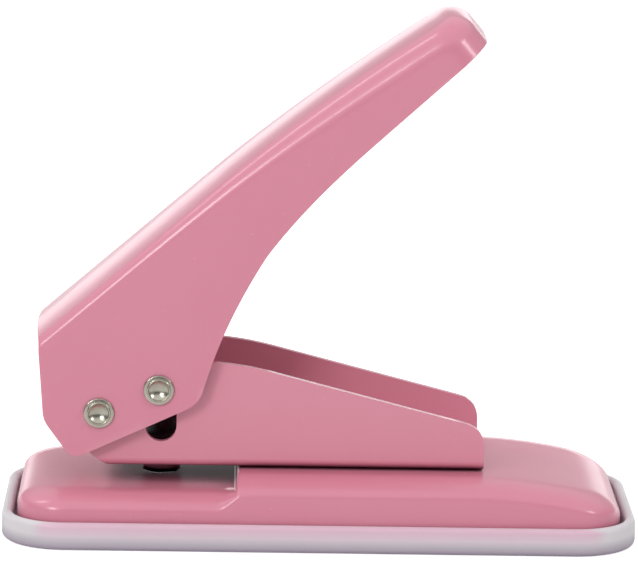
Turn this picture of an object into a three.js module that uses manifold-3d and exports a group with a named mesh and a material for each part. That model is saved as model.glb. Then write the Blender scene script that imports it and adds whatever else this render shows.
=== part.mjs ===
// A single-hole desk punch: a pressed steel base with a paper throat, a riveted frame channel, a long
// lever that straddles the frame, a sprung punch on a cross pin, and a translucent tray for the chips.
// Millimetres, +Z up. X runs along the base towards the lever's grip end, Y across it. The origin is on
// the surface that the punch stands on, below the middle of the tray. The lever is at its raised rest.
import * as THREE from "three";
import { mergeVertices } from "three/addons/utils/BufferGeometryUtils.js";
import Module from "manifold-3d";

const wasm = await Module();
wasm.setup();

// ---- driving dimensions ------------------------------------------------------------------------
// Tray: a shallow open box that the base sits in.
const TRAY = { length: 110.4, width: 45.4, corner: 11, height: 4.8, floor: 1.2, wall: 1.9, edge: 0.9 };

// Base cover: pressed sheet in two levels, the low one being the floor of the paper throat.
const COVER_GAP = 0.3; // between the cover's skirt and the tray's wall
const COVER = {
  length: TRAY.length - 2 * (TRAY.wall + COVER_GAP) - 1,
  width: TRAY.width - 2 * (TRAY.wall + COVER_GAP),
  corner: 8.5,
  sheet: 1,
  skirt: 1.8, // height of the skirt's lower edge
  throat: 9.3, // height of the throat floor
  deck: 12.1, // height of the deck that the frame stands on
  filletReach: 6.5, // the fillet is a quarter of an ellipse, wider than it is high
  filletDrop: 3,
};
const STEP_X = -14.6; // where the deck begins, which stops the paper
const STEP_RUN = 0.5;
const SLOPE_X = 26; // where the deck starts to slope down
const SLOPE_RADIUS = 90;

// Frame: a U channel of sheet, open upwards.
const FRAME = { width: 23, sheet: 1.2, bottom: 12.4, bend: 1.6, front: 28.5, corner: 3.5 };
const COLLAR = { radius: 3.6, bottom: 10 }; // drawn down round the punch

// Lever: an inverted channel whose cheeks stand outside the frame.
const LEVER = {
  width: 28, tipWidth: 25, sheet: 1.2, rearBend: 1.6, tipBend: 3.8, tipCorner: 6.5,
  crown: 90, // radius of the back across its width
};

// The lever turns about the pivot, and carries the drive pin that works the punch.
const PIVOT = { x: -38.4, z: 22.4 };
const DRIVE = { x: -28.1, z: 26.6 };
const PIN = { radius: 2, head: 2.65, headHeight: 0.7, flange: 0.4, cup: 1.8, cupDepth: 0.75 };
const PIN_HOLE = 2.25;
const WASHER = { outer: 3.9, inner: 2.25, thick: 0.6 };

// Punch: a 6 mm cutter with a thicker shank, in line with the frame's slots.
const PUNCH = { x: -27.7, cutter: 3, shank: 4, tip: 10.6, shoulder: 22, top: 31.2 };
const SLOT = { half: 2.7, low: 19.6, high: 26.2 }; // vertical slot in each frame wall
const GUIDE_CLEARANCE = 0.12;

// Return spring, between the frame's floor and a washer under the drive pin.
const SPRING = { radius: 4.75, wire: 0.35, coils: 3, low: 13.95, high: 23.15 };
const SPRING_WASHER = { outer: 5.2, inner: 4.25, low: 23.5, high: 24.3 };

// Die plate, welded under the throat floor, and the rivets that hold the frame down.
const DIE = { length: 30, width: 26, low: 6, high: 8, hole: 3.1 };
const FRAME_RIVETS = [[-7, -5.5], [-7, 5.5], [20, 0]];

// ---- materials ---------------------------------------------------------------------------------
const paint = new THREE.MeshStandardMaterial({ color: 0xdc8aa0, roughness: 0.3, metalness: 0 });
const steel = new THREE.MeshStandardMaterial({ color: 0xb9b4a6, roughness: 0.3, metalness: 1 });
const groundSteel = new THREE.MeshStandardMaterial({ color: 0x8f9092, roughness: 0.35, metalness: 1 });
const blackSteel = new THREE.MeshStandardMaterial({ color: 0x24242a, roughness: 0.4, metalness: 1 });
const trayPlastic = new THREE.MeshStandardMaterial({
  color: 0xdcd8de, roughness: 0.3, metalness: 0, transparent: true, opacity: 0.6,
});

// ---- solids and meshes ---------------------------------------------------------------------------
// A closed three.js geometry as a manifold-3d solid.
function solid(geometry) {
  const bare = geometry.index ? geometry.toNonIndexed() : geometry.clone();
  bare.deleteAttribute("normal");
  bare.deleteAttribute("uv");
  const merged = mergeVertices(bare, 1e-4);
  return new wasm.Manifold(new wasm.Mesh({
    numProp: 3,
    vertProperties: merged.attributes.position.array,
    triVerts: new Uint32Array(merged.index.array),
  }));
}

// A named three.js mesh of a solid.
function piece(name, shape, material) {
  const { vertProperties, triVerts } = shape.getMesh();
  const geometry = new THREE.BufferGeometry();
  geometry.setAttribute("position", new THREE.BufferAttribute(new Float32Array(vertProperties), 3));
  geometry.setIndex(new THREE.BufferAttribute(new Uint32Array(triVerts), 1));
  geometry.computeVertexNormals();
  const mesh = new THREE.Mesh(geometry, material);
  mesh.name = name;
  return mesh;
}

// A cylinder along Z, between two heights.
function post(radius, x, y, z0, z1, sides = 24) {
  const geometry = new THREE.CylinderGeometry(radius, radius, z1 - z0, sides);
  return solid(geometry.rotateX(Math.PI / 2).translate(x, y, (z0 + z1) / 2));
}

// A cylinder along Y, right through the punch.
function crossBore(radius, x, z, sides = 24) {
  return solid(new THREE.CylinderGeometry(radius, radius, 60, sides).translate(x, 0, z));
}

// A body of revolution about Z from [radius, height] pairs, which start and end on the axis, bottom first.
function turned(profile, sides = 24) {
  const points = profile.map(([r, z]) => new THREE.Vector2(r, z));
  return new THREE.LatheGeometry(points, sides).rotateX(Math.PI / 2);
}

// A flat ring about Z.
function ring(outer, inner, x, y, z0, z1) {
  return post(outer, x, y, z0, z1).subtract(post(inner, x, y, z0 - 1, z1 + 1));
}

// A side view, drawn in X and Z, given the width that it has across Y.
function sidePlate(shape, halfWidth) {
  const geometry = new THREE.ExtrudeGeometry(shape, {
    depth: 2 * halfWidth, bevelEnabled: false, curveSegments: 8,
  });
  return solid(geometry.translate(0, 0, -halfWidth).rotateX(Math.PI / 2));
}

// A rounded rectangle in plan.
function roundedPlan(length, width, corner) {
  const [a, b] = [length / 2, width / 2];
  const shape = new THREE.Shape();
  shape.absarc(a - corner, b - corner, corner, 0, Math.PI / 2);
  shape.absarc(corner - a, b - corner, corner, Math.PI / 2, Math.PI);
  shape.absarc(corner - a, corner - b, corner, Math.PI, 1.5 * Math.PI);
  shape.absarc(a - corner, corner - b, corner, 1.5 * Math.PI, 2 * Math.PI);
  return shape;
}

// ---- pressed sheet -------------------------------------------------------------------------------
// Distances from an edge that step evenly round a quarter circle of the given radius.
function quarterSteps(radius, count) {
  return Array.from({ length: count + 1 }, (_, i) => radius * (1 - Math.cos((i / count) * (Math.PI / 2))));
}

// The solid under a drawn sheet. Seen from above it runs from u0 to u1 with half width half(u) and its
// ends rounded by corner. Its height is top(u), less a crown of the given radius across it, and a quarter
// ellipse of width bend(u) and height drop(u) rolls it down to the edge. An open start is cut off square,
// with no corner or roll. Its underside is at floor. extra lists more stations along it.
function pressing({ u0, u1, openStart = false, half, corner, top, crown = Infinity, bend, drop = bend,
  floor, extra }) {
  const [steps, cornerSteps] = [4, 5];
  const ends = quarterSteps(corner, cornerSteps).concat(quarterSteps(bend(u1), steps));
  const stations = new Set([u0, u1, ...extra]);
  ends.forEach((d) => stations.add(u1 - d));
  if (!openStart) ends.forEach((d) => stations.add(u0 + d));
  const sorted = [...stations].sort((a, b) => a - b);
  const distinct = sorted.filter((u, i) => i === 0 || u - sorted[i - 1] > 0.02);

  // How far a point lies inside the outline, and the outline's own half width there.
  const pastCorner = (u) => Math.max(u - (u1 - corner), openStart ? 0 : u0 + corner - u, 0);
  const outline = (u) => half(u) - corner + Math.sqrt(Math.max(corner ** 2 - pastCorner(u) ** 2, 0));
  const inset = (u, y) => {
    const [du, dy] = [pastCorner(u), Math.max(Math.abs(y) - (half(u) - corner), 0)];
    if (du > 0 && dy > 0) return corner - Math.hypot(du, dy);
    return Math.min(u1 - u, openStart ? Infinity : u - u0, half(u) - Math.abs(y));
  };
  const height = (u, y) => {
    const outward = 1 - THREE.MathUtils.clamp(inset(u, y) / bend(u), 0, 1);
    return top(u) - y ** 2 / (2 * crown) - drop(u) * (1 - Math.sqrt(1 - outward ** 2));
  };

  // One closed ring of points at each station.
  const rings = distinct.map((u) => {
    const w = outline(u);
    const edge = quarterSteps(Math.min(bend(u), w * 0.95), steps).map((d) => w - d);
    const flat = edge.at(-1);
    const across = [...edge.map((y) => -y), -flat / 2, 0, flat / 2, ...edge.reverse()];
    const roof = across.map((y) => [u, y, height(u, y)]);
    return [[u, -w, floor], ...roof, [u, w, floor]];
  });
  const count = rings[0].length;
  const positions = rings.flat(2);
  const index = [];
  for (let i = 0; i + 1 < rings.length; i++) {
    for (let j = 0; j < count; j++) {
      const [a, b] = [i * count + j, i * count + ((j + 1) % count)];
      index.push(a, a + count, b, b, a + count, b + count);
    }
  }
  for (let j = 1; j + 1 < count; j++) {
    const last = (rings.length - 1) * count;
    index.push(0, j, j + 1, last, last + j + 1, last + j);
  }
  const geometry = new THREE.BufferGeometry();
  geometry.setAttribute("position", new THREE.Float32BufferAttribute(positions, 3));
  geometry.setIndex(index);
  return geometry;
}

// ---- tray ------------------------------------------------------------------------------------------
function chipTray() {
  const { length, width, corner, height, floor, wall, edge } = TRAY;
  const outside = new THREE.ExtrudeGeometry(roundedPlan(length - 2 * edge, width - 2 * edge, corner - edge), {
    depth: height - 2 * edge, bevelSize: edge, bevelThickness: edge, bevelSegments: 3, curveSegments: 7,
  }).translate(0, 0, edge);
  const inside = new THREE.ExtrudeGeometry(roundedPlan(length - 2 * wall, width - 2 * wall, corner - wall), {
    depth: height, bevelEnabled: false, curveSegments: 7,
  }).translate(0, 0, floor);
  return solid(outside).subtract(solid(inside));
}

// ---- base cover ------------------------------------------------------------------------------------
// Height of the cover along its length: throat floor, step, deck, and the slope at the front.
function coverTop(x) {
  const deck = COVER.deck - Math.max(x - SLOPE_X, 0) ** 2 / (2 * SLOPE_RADIUS);
  const rise = THREE.MathUtils.clamp((x - STEP_X) / STEP_RUN, 0, 1);
  return THREE.MathUtils.lerp(COVER.throat, deck, rise);
}

function baseCover() {
  const skin = (inset) => pressing({
    u0: -COVER.length / 2 + inset,
    u1: COVER.length / 2 - inset,
    half: () => COVER.width / 2 - inset,
    corner: COVER.corner - inset,
    // The sheet's inside face turns up later than its outside face at the step.
    top: (x) => coverTop(x - inset) - inset,
    bend: () => COVER.filletReach - inset,
    drop: () => COVER.filletDrop - inset,
    floor: inset ? COVER.skirt - 1 : COVER.skirt,
    extra: [STEP_X + inset, STEP_X + STEP_RUN + inset, SLOPE_X, SLOPE_X + 7, SLOPE_X + 13, SLOPE_X + 18],
  });
  let cover = solid(skin(0)).subtract(solid(skin(COVER.sheet)));
  cover = cover.subtract(post(DIE.hole + 0.2, PUNCH.x, 0, 0, 20));
  for (const [x, y] of FRAME_RIVETS) cover = cover.subtract(post(2, x, y, 0, 20));
  return cover;
}

// ---- die plate --------------------------------------------------------------------------------------
function diePlate() {
  const shape = roundedPlan(DIE.length, DIE.width, 2);
  const plate = solid(new THREE.ExtrudeGeometry(shape, {
    depth: DIE.high - DIE.low, bevelEnabled: false, curveSegments: 4,
  }).translate(PUNCH.x, 0, DIE.low));
  return plate.subtract(post(DIE.hole, PUNCH.x, 0, 0, 20));
}

// ---- frame -------------------------------------------------------------------------------------------
// The wall's side view. Its rear is round the pivot pin, its top covers the slot, its front slopes down.
function frameOutline() {
  const { bottom, front, corner } = FRAME;
  const shape = new THREE.Shape();
  shape.moveTo(-37, bottom - 1);
  shape.lineTo(front, bottom - 1);
  shape.lineTo(front, 19.9 - corner);
  shape.quadraticCurveTo(front, 19.9, front - corner * 0.95, 20.75);
  shape.lineTo(-8, 29.25);
  shape.quadraticCurveTo(-15, 31.2, -20, 31.4);
  shape.lineTo(-31, 31.4);
  shape.quadraticCurveTo(-37, 31.2, -41, 27.5);
  shape.quadraticCurveTo(-44, 24.5, -43.6, 20.5);
  shape.lineTo(-40.7, 15.2);
  shape.lineTo(-37, bottom);
  return shape;
}

// The channel's section across Y and Z: the outside, or the inside if inset by the sheet.
function channelBlock(inset) {
  const [half, low, r] = [FRAME.width / 2 - inset, FRAME.bottom + inset, FRAME.bend - inset];
  const shape = new THREE.Shape();
  shape.moveTo(half, 40);
  shape.lineTo(-half, 40);
  shape.absarc(-half + r, low + r, r, Math.PI, 1.5 * Math.PI);
  shape.absarc(half - r, low + r, r, 1.5 * Math.PI, 2 * Math.PI);
  const geometry = new THREE.ExtrudeGeometry(shape, { depth: 100, bevelEnabled: false, curveSegments: 4 });
  // The extrusion runs along +X, with the shape's x across Y and its y up Z.
  const basis = new THREE.Matrix4().set(0, 0, 1, -60, 1, 0, 0, 0, 0, 1, 0, 0, 0, 0, 0, 1);
  return solid(geometry.applyMatrix4(basis));
}

function slotCutter() {
  const { half, low, high } = SLOT;
  const shape = new THREE.Shape();
  shape.absarc(PUNCH.x, high, half, 0, Math.PI);
  shape.absarc(PUNCH.x, low, half, Math.PI, 2 * Math.PI);
  return sidePlate(shape, 30);
}

function frameChannel() {
  const channel = channelBlock(0).subtract(channelBlock(FRAME.sheet));
  const floor = FRAME.bottom + FRAME.sheet;
  let frame = channel.intersect(sidePlate(frameOutline(), 30));
  frame = frame.add(post(COLLAR.radius, PUNCH.x, 0, COLLAR.bottom, floor));
  frame = frame.subtract(post(PUNCH.cutter + GUIDE_CLEARANCE, PUNCH.x, 0, 0, 20));
  frame = frame.subtract(slotCutter());
  frame = frame.subtract(crossBore(PIN_HOLE, PIVOT.x, PIVOT.z));
  for (const [x, y] of FRAME_RIVETS) frame = frame.subtract(post(2, x, y, 0, 20));
  return frame;
}

// Head above the frame's floor, shank through both sheets, tail rolled over under the deck.
function frameRivet([x, y]) {
  const seat = FRAME.bottom + FRAME.sheet + 0.15;
  const tail = COVER.deck - COVER.sheet - 0.15;
  return solid(turned([
    [0, tail - 0.9], [2, tail - 0.9], [2.7, tail], [1.7, tail],
    [1.7, seat], [3.4, seat], [3.1, seat + 0.7], [2, seat + 1.15], [0, seat + 1.3],
  ], 20).translate(x, y, 0));
}

// ---- lever -------------------------------------------------------------------------------------------
const LEVER_TILT = THREE.MathUtils.degToRad(40); // of the lever's own length axis at rest
const TIP_U = 77.1; // the tip, along that axis
// Height of the lever's back above its axis: straight at the rear, then arched over towards the tip.
const leverTop = (u) => 60.05 + 0.0155 * Math.min(u - 27, 0) - Math.max(u - 27, 0) ** 2 / 730;
const alongLever = (u) => THREE.MathUtils.clamp((u - 5) / (TIP_U - 20), 0, 1);

// The lever's back and rolled edges as a solid, in its own axes and then turned into place.
function leverBlock(inset) {
  const geometry = pressing({
    u0: -40,
    u1: TIP_U - inset,
    openStart: true,
    half: (u) => THREE.MathUtils.lerp(LEVER.width, LEVER.tipWidth, alongLever(u)) / 2 - inset,
    corner: LEVER.tipCorner - inset,
    top: (u) => leverTop(u) - inset,
    crown: LEVER.crown,
    bend: (u) => THREE.MathUtils.lerp(LEVER.rearBend, LEVER.tipBend, alongLever(u)) - inset,
    floor: -10 - inset,
    extra: [-16, 5, 12, 20, 28, 36, 44, 52, 58, 63],
  });
  return solid(geometry.rotateY(-LEVER_TILT));
}

// The cheek's side view. Behind and below it has the cheek's own edges; above it is clear of the back.
function leverOutline() {
  const shape = new THREE.Shape();
  shape.moveTo(-49.6, 33.6);
  shape.lineTo(-48.1, 21.9);
  shape.quadraticCurveTo(-47.9, 20.7, -47.1, 19.7);
  shape.lineTo(-44.1, 15.6);
  shape.quadraticCurveTo(-43, 14.2, -41.4, 14.8);
  shape.lineTo(-23.4, 23.1);
  shape.quadraticCurveTo(-21, 24.2, -20.4, 26.6);
  shape.quadraticCurveTo(-17.3, 38, -9.9, 50);
  shape.quadraticCurveTo(-3.8, 58.5, 7.1, 68.5);
  shape.lineTo(26.5, 86.2);
  shape.lineTo(40, 98);
  shape.lineTo(0, 120);
  shape.lineTo(-60, 60);
  shape.lineTo(-49.6, 36);
  return shape;
}

function leverChannel() {
  let lever = leverBlock(0).subtract(leverBlock(LEVER.sheet));
  lever = lever.intersect(sidePlate(leverOutline(), 30));
  lever = lever.subtract(crossBore(PIN_HOLE, PIVOT.x, PIVOT.z));
  return lever.subtract(crossBore(PIN_HOLE, DRIVE.x, DRIVE.z));
}

// ---- pins and washers ----------------------------------------------------------------------------------
// A pin through both cheeks. Each head is a low flange with a raised lip, and is dished inside the lip.
function crossPin({ x, z }) {
  const { radius, head, headHeight, flange, cup, cupDepth } = PIN;
  const face = LEVER.width / 2 + 0.15;
  const end = face + headHeight;
  const dish = [0, 0.4, 0.75, 1].map((t) => [cup * t, end - cupDepth * (1 - t ** 2)]);
  const far = [
    ...dish, [cup + 0.2, end], [cup + 0.3, face + flange],
    [head - 0.15, face + flange], [head, face + flange - 0.15], [head, face], [radius, face],
  ];
  const near = far.map(([r, y]) => [r, -y]).reverse();
  const points = [...far, ...near].reverse().map(([r, y]) => new THREE.Vector2(r, y));
  return solid(new THREE.LatheGeometry(points, 24).translate(x, 0, z));
}

function sideWasher({ x, z }, side) {
  const inner = FRAME.width / 2;
  const outer = LEVER.width / 2 - LEVER.sheet;
  const middle = (side * (inner + outer)) / 2;
  return ring(WASHER.outer, WASHER.inner, 0, 0, -WASHER.thick / 2, WASHER.thick / 2)
    .rotate([90, 0, 0]).translate([x, middle, z]);
}

// ---- punch and spring ----------------------------------------------------------------------------------
// The cutter's end is hollowed so that it shears from its rim inwards. The cross hole is wider than the
// pin, because the pin moves on an arc while the punch moves straight.
function punchPin() {
  const { x, cutter, shank, tip, shoulder, top } = PUNCH;
  const body = solid(turned([
    [0, tip + 1.1], [cutter, tip], [cutter, shoulder - 1], [shank, shoulder],
    [shank, top - 0.6], [shank - 0.6, top], [0, top],
  ]).translate(x, 0, 0));
  const hole = new THREE.Shape();
  const [reach, r] = [0.65, PIN.radius + 0.2];
  hole.absarc(x + reach, DRIVE.z, r, -Math.PI / 2, Math.PI / 2);
  hole.absarc(x - reach, DRIVE.z, r, Math.PI / 2, 1.5 * Math.PI);
  return body.subtract(sidePlate(hole, 20));
}

class Coil extends THREE.Curve {
  getPoint(t) {
    const turn = 2 * Math.PI * SPRING.coils * t;
    const climb = THREE.MathUtils.smoothstep(t, 0, 1) * 0.4 + t * 0.6;
    const [low, high] = [SPRING.low + SPRING.wire, SPRING.high - SPRING.wire];
    const { radius } = SPRING;
    return new THREE.Vector3(
      PUNCH.x + radius * Math.cos(turn), radius * Math.sin(turn), low + (high - low) * climb,
    );
  }
}

function returnSpring() {
  const section = new THREE.Shape();
  section.absarc(0, 0, SPRING.wire, 0, 2 * Math.PI);
  return solid(new THREE.ExtrudeGeometry(section, {
    steps: SPRING.coils * 18, extrudePath: new Coil(), curveSegments: 3,
  }));
}

// ---- assembly --------------------------------------------------------------------------------------------
const holePunch = new THREE.Group();

holePunch.add(piece("chip_tray", chipTray(), trayPlastic));
holePunch.add(piece("base_cover", baseCover(), paint));
holePunch.add(piece("die_plate", diePlate(), groundSteel));
holePunch.add(piece("frame_channel", frameChannel(), paint));
FRAME_RIVETS.forEach((place, i) => {
  holePunch.add(piece(`frame_rivet_${i + 1}`, frameRivet(place), steel));
});

holePunch.add(piece("lever", leverChannel(), paint));
for (const [name, place] of [["pivot", PIVOT], ["drive", DRIVE]]) {
  holePunch.add(piece(`${name}_pin`, crossPin(place), steel));
  holePunch.add(piece(`${name}_washer_near`, sideWasher(place, -1), steel));
  holePunch.add(piece(`${name}_washer_far`, sideWasher(place, 1), steel));
}

holePunch.add(piece("punch", punchPin(), blackSteel));
holePunch.add(piece(
  "spring_washer",
  ring(SPRING_WASHER.outer, SPRING_WASHER.inner, PUNCH.x, 0, SPRING_WASHER.low, SPRING_WASHER.high),
  blackSteel,
));
holePunch.add(piece("return_spring", returnSpring(), blackSteel));

export default holePunch;
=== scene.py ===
import math

import bmesh
import bpy
import numpy as np
from mathutils import Matrix, Vector


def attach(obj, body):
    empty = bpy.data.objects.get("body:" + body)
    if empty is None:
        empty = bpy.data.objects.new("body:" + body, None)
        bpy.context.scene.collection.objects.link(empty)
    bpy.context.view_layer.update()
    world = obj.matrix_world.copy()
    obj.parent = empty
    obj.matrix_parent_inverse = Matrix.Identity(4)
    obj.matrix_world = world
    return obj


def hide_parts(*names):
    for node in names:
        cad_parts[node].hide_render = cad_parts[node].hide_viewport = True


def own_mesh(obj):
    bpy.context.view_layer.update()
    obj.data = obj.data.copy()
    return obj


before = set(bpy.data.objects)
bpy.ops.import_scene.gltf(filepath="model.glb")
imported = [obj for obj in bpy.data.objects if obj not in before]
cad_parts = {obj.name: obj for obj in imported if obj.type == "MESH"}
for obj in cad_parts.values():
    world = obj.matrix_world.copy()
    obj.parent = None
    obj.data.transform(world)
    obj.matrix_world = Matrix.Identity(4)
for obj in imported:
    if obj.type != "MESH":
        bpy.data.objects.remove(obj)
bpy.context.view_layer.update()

# A one-hole desk punch. Sizes are in millimetres and MM turns them into metres. X runs along the base
# towards the lever's grip, Y across it and Z up, from the middle of the tray's underside.
MM = 0.001


# ---- Camera, lights and table --------------------------------------------------------------------
# A long lens a little above the punch and square to its side, turned very slightly in its own plane.
# The sky is a white tent with its brightest part behind, near the horizon, and a dark band in front, where
# the camera stands. The table is plain and white. A soft panel stands at each side in front, and a narrow
# one hangs above at the left. The camera's distance, the lamps and the table are in metres.

CAMERA_RISE, CAMERA_TURN, CAMERA_ROLL = (math.radians(a) for a in (11.5, 1.2, 1.06))
CAMERA_AIM = Vector((-0.5, 0, 43.0)) * MM
CAMERA_DISTANCE = 0.738
CAMERA_LENS = 237.7

ahead = Vector((
    math.sin(CAMERA_TURN) * math.cos(CAMERA_RISE),
    math.cos(CAMERA_TURN) * math.cos(CAMERA_RISE),
    -math.sin(CAMERA_RISE),
))
level = Vector((math.cos(CAMERA_TURN), -math.sin(CAMERA_TURN), 0))
upright = level.cross(ahead)
sideways = level * math.cos(CAMERA_ROLL) + upright * math.sin(CAMERA_ROLL)
upwards = upright * math.cos(CAMERA_ROLL) - level * math.sin(CAMERA_ROLL)
camera = bpy.data.objects.new("camera", bpy.data.cameras.new("camera"))
camera.data.lens = CAMERA_LENS
camera.matrix_world = Matrix.Translation(CAMERA_AIM - ahead * CAMERA_DISTANCE) @ Matrix(
    (sideways, upwards, -ahead)).transposed().to_4x4()
bpy.context.scene.collection.objects.link(camera)
bpy.context.scene.camera = camera
bpy.context.scene.view_settings.view_transform = "Standard"


def soft_panel(name, place, aim, width, height, power):
    """A rectangular lamp at place, facing aim."""
    lamp = bpy.data.lights.new(name, "AREA")
    lamp.shape, lamp.size, lamp.size_y = "RECTANGLE", width, height
    lamp.energy = power
    holder = bpy.data.objects.new(name, lamp)
    away = (Vector(place) - Vector(aim)).normalized()
    holder.matrix_world = Matrix.Translation(place) @ away.to_track_quat("Z", "Y").to_matrix().to_4x4()
    bpy.context.scene.collection.objects.link(holder)


soft_panel("left_panel", (-0.60, -0.90, 0.53), (0, 0, 0.04), 0.35, 0.35, 4.1)
soft_panel("left_strip", (-0.70, 0.12, 0.97), (0, 0, 0.04), 0.15, 0.4, 1.2)
soft_panel("right_panel", (0.90, -0.54, 0.58), (0, 0, 0.04), 0.25, 0.25, 2.1)


def add(tree, kind, inputs=None, **properties):
    """A shader node of this kind, with its named inputs and its properties set."""
    made = tree.nodes.new("ShaderNode" + kind)
    for name, value in properties.items():
        setattr(made, name, value)
    for name, value in (inputs or {}).items():
        made.inputs[name].default_value = value
    return made


def join(tree, source, output, target, socket):
    tree.links.new(source.outputs[output], target.inputs[socket])


world = bpy.data.worlds.new("studio")
bpy.context.scene.world = world
world.use_nodes = True
sky = world.node_tree
sky_place = add(sky, "TexCoord")
sky_split = add(sky, "SeparateXYZ")
join(sky, sky_place, "Generated", sky_split, "Vector")
sky.nodes["Background"].inputs["Color"].default_value = (1, 1, 1, 1)


def sky_ramp(stops):
    """Brightness from the horizon up to overhead, as pairs of height from 0 to 1 and value."""
    ramp = add(sky, "ValToRGB")
    elements = ramp.color_ramp.elements
    while len(elements) < len(stops):
        elements.new(1)
    for element, (height, value) in zip(elements, stops):
        element.position, element.color = height, (value, value, value, 1)
    join(sky, sky_split, "Z", ramp, "Fac")
    return ramp


sky_back = sky_ramp([(0.1, 2.0), (0.165, 0.42), (0.3, 0.35), (0.55, 0.9)])
sky_front = sky_ramp([(0.0, 0.1), (0.42, 0.1), (0.56, 0.9)])
sky_turn = add(sky, "MapRange", {"From Min": 0.0, "From Max": 0.8})
sky_mix = add(sky, "Mix", data_type="RGBA")
join(sky, sky_split, "Y", sky_turn, "Value")
join(sky, sky_turn, "Result", sky_mix, 0)
sky.links.new(sky_front.outputs["Color"], sky_mix.inputs[6])
sky.links.new(sky_back.outputs["Color"], sky_mix.inputs[7])
sky.links.new(sky_mix.outputs[2], sky.nodes["Background"].inputs["Strength"])

# The table's half width, and how little it lies under the tray so that their faces don't coincide.
TABLE_HALF, TABLE_DROP = 4.0, 0.00005
table_corners = [
    (x * TABLE_HALF, y * TABLE_HALF, -TABLE_DROP) for x, y in ((-1, -1), (1, -1), (1, 1), (-1, 1))]
table_mesh = bpy.data.meshes.new("table")
table_mesh.from_pydata(table_corners, [], [(0, 1, 2, 3)])
table = bpy.data.objects.new("table", table_mesh)
bpy.context.scene.collection.objects.link(table)
table_white = bpy.data.materials.new("table white")
table_white.use_nodes = True
tree = table_white.node_tree
shader = tree.nodes["Principled BSDF"]
shader.inputs["Base Color"].default_value = (0.75, 0.75, 0.75, 1)
shader.inputs["Roughness"].default_value = 0.8
shader.inputs["Emission Color"].default_value = (1, 1, 1, 1)
# The table glows a little, and far more to the lens, so that it stays white under the punch.
seen = add(tree, "LightPath")
glow = add(tree, "MapRange", {"To Min": 0.06, "To Max": 0.7})
join(tree, seen, "Is Camera Ray", glow, "Value")
join(tree, glow, "Result", shader, "Emission Strength")
table_mesh.materials.append(table_white)


# ---- Chip tray -----------------------------------------------------------------------------------
# The tray is moulded in one shot from a cloudy, see-through plastic, and clips on under the cover. Its
# wall has a round lip and a rolled lower edge, so its section is carried round a rounded rectangle.

TRAY_LENGTH, TRAY_WIDTH, TRAY_CORNER, TRAY_HEIGHT = 110.4, 45.4, 11.0, 4.8
TRAY_FLOOR, TRAY_WALL, TRAY_EDGE, TRAY_INNER = 1.2, 1.9, 0.9, 0.6


def surface(name, points, around=False, across=False):
    """A mesh of four-sided faces on a grid of points, shaped (rows, columns, 3) and in millimetres.

    around joins the last column to the first, across the last row to the first. A face turns from
    columns to rows, so its normal is the column direction times the row direction. The UV map counts
    millimetres: u along the middle row, v up the first column.
    """
    rows, columns = points.shape[:2]
    numbers = np.arange(rows * columns).reshape(rows, columns)
    steps_u = np.linalg.norm(np.diff(points[rows // 2], axis=0), axis=1)
    steps_v = np.linalg.norm(np.diff(points[:, 0], axis=0), axis=1)
    u, v = (np.concatenate([[0], np.cumsum(steps)]) for steps in (steps_u, steps_v))
    if around:
        numbers = np.hstack([numbers, numbers[:, :1]])
        u = np.append(u, u[-1] + steps_u.mean())
    if across:
        numbers = np.vstack([numbers, numbers[:1]])
        v = np.append(v, v[-1] + steps_v.mean())
    corners = [(slice(None, -1), slice(None, -1)), (slice(None, -1), slice(1, None)),
               (slice(1, None), slice(1, None)), (slice(1, None), slice(None, -1))]
    faces = np.stack([numbers[corner] for corner in corners], axis=-1).reshape(-1, 4)
    u_grid, v_grid = np.meshgrid(u, v)
    uv = np.stack([np.stack([u_grid[corner], v_grid[corner]], -1) for corner in corners], axis=2)
    mesh = bpy.data.meshes.new(name)
    mesh.from_pydata((points.reshape(-1, 3) * MM).tolist(), [], faces.tolist())
    mesh.uv_layers.new(name="UVMap").data.foreach_set("uv", uv.reshape(-1).astype(np.float32))
    work = bmesh.new()
    work.from_mesh(mesh)
    bmesh.ops.remove_doubles(work, verts=work.verts, dist=0.002 * MM)
    work.to_mesh(mesh)
    work.free()
    mesh.shade_smooth()
    piece = bpy.data.objects.new(name, mesh)
    bpy.context.scene.collection.objects.link(piece)
    return piece


def arc(centre, radius, start, end, steps):
    """Points on a circle's arc between two angles in degrees."""
    angle = np.radians(np.linspace(start, end, steps + 1))
    return np.stack([centre[0] + radius * np.cos(angle), centre[1] + radius * np.sin(angle)], -1)


def round_plan(length, width, corner, along, steps):
    """Stations anticlockwise round a rounded rectangle: points, outward normals, and where each
    station's row ends, on the middle line. along lists the X positions on the two long sides."""
    a, b = length / 2 - corner, width / 2 - corner
    across = np.linspace(-b, b, 15)[1:-1]
    side = np.stack([along, np.full_like(along, -width / 2)], -1)
    end = np.stack([np.full_like(across, length / 2), across], -1)
    points = np.concatenate([
        side, arc((a, -b), corner, -90, 0, steps)[1:], end, arc((a, b), corner, 0, 90, steps)[:-1],
        side[::-1] * [1, -1], arc((-a, b), corner, 90, 180, steps)[1:], end[::-1] * [-1, 1],
        arc((-a, -b), corner, 180, 270, steps)[:-1],
    ])
    centres = np.stack([np.clip(points[:, 0], -a, a), np.clip(points[:, 1], -b, b)], -1)
    normals = (points - centres) / corner
    return points, normals, np.stack([np.clip(points[:, 0], -a, a), np.zeros(len(points))], -1)


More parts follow.
